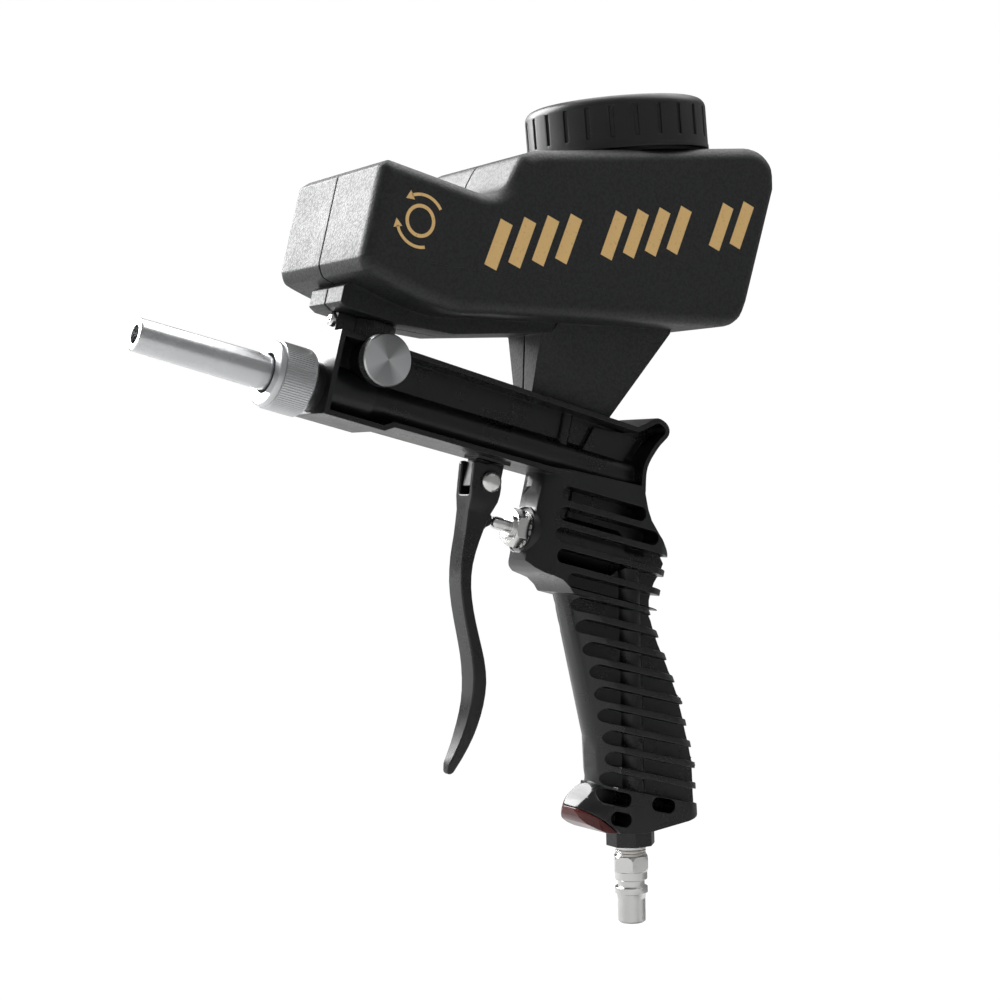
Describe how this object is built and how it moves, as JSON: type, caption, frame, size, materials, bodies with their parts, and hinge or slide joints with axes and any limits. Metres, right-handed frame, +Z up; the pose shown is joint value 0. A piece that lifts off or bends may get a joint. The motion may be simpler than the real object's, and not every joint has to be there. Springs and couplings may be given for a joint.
{
  "type": "gravity feed sandblaster gun",
  "caption": "Hand-held gravity feed sandblaster gun with a screw-capped abrasive hopper, ribbed pistol grip, lever trigger, rotary feed valve and straight nozzle.",
  "frame": {"origin": "on the barrel's axis, at the body's front face", "axes": "-X along the barrel out of the nozzle, +Z up towards the hopper, -Y to the side with the feed knob"},
  "size_m": [0.2926, 0.0768, 0.3469],
  "materials": {
    "gun_plastic": "moulded black nylon, satin gloss",
    "toe_plastic": "dark red translucent look",
    "hopper_plastic": "pebble-grained black polyethylene",
    "cap_plastic": "satin black polypropylene",
    "liner_foam": "closed-cell foam",
    "seal_rubber": "nitrile rubber",
    "packing_ptfe": "PTFE",
    "turned_aluminium": "turned with fine rings",
    "bright_steel": "zinc-nickel plated, bright",
    "dark_steel": "blackened spring steel",
    "nozzle_brass": "turned brass"
  },
  "bodies": {
    "gun": {"gun_body": "gun_plastic", "toe_insert": "toe_plastic", "inlet_bush": "nozzle_brass", "inlet_plug": "bright_steel", "nozzle_tube": "turned_aluminium", "nozzle_nut": "turned_aluminium", "nozzle_gasket": "seal_rubber", "air_jet": "nozzle_brass", "outlet_neck": "gun_plastic", "neck_seal": "seal_rubber", "neck_screw": "bright_steel", "trigger_pin": "bright_steel", "trigger_clip": "dark_steel", "gland_nut": "bright_steel", "lock_washer": "bright_steel", "stem_packing": "packing_ptfe", "valve_seat": "nozzle_brass", "spring_stop": "nozzle_brass", "hopper_left_shell": "hopper_plastic", "hopper_right_shell": "hopper_plastic", "hopper_gasket": "seal_rubber", "hopper_screws": "bright_steel", "filler_collar": "cap_plastic", "collar_gasket": "seal_rubber"},
    "feed_valve": {"feed_shaft": "turned_aluminium", "shaft_seals": "seal_rubber", "shaft_clip": "dark_steel", "feed_knob": "turned_aluminium", "knob_grub_screw": "dark_steel"},
    "trigger": {"trigger_lever": "gun_plastic"},
    "valve_rod": {"valve_stem": "bright_steel", "valve_poppet": "nozzle_brass", "poppet_seal": "seal_rubber", "valve_spring": "dark_steel"},
    "cap_seal": {"cap_liner": "liner_foam"},
    "cap": {"filler_cap": "cap_plastic"}
  },
  "joints": [
    {"name": "trigger_pivot", "type": "hinge", "parent": "gun", "child": "trigger", "pos_m": [0.0825, 0, -0.0176], "axis": [0, -1, 0], "range_deg": [0, 15], "stiffness_Nm_per_rad": 0.6, "springref_deg": -20.05},
    {"name": "valve_slide", "type": "slide", "parent": "gun", "child": "valve_rod", "axis": [1, 0, 0], "range_m": [0, 0.004], "deforming": ["valve_spring"]},
    {"name": "feed_turn", "type": "hinge", "parent": "gun", "child": "feed_valve", "pos_m": [0.019, 0, 0.015], "axis": [0, -1, 0], "range_deg": [0, 90]},
    {"name": "cap_lift", "type": "slide", "parent": "gun", "child": "cap_seal", "axis": [-0.3269, 0, 0.945], "range_m": [0, 0.012]},
    {"name": "cap_turn", "type": "hinge", "parent": "cap_seal", "child": "cap", "pos_m": [0.116, 0, 0.13041], "axis": [-0.3269, 0, 0.945], "range_deg": [0, 540]}
  ],
  "couplings": [
    {"joint": "valve_slide", "follows": "trigger_pivot", "m_per_rad": 0.0149},
    {"joint": "cap_lift", "follows": "cap_turn", "m_per_rad": 0.0012732}
  ]
}
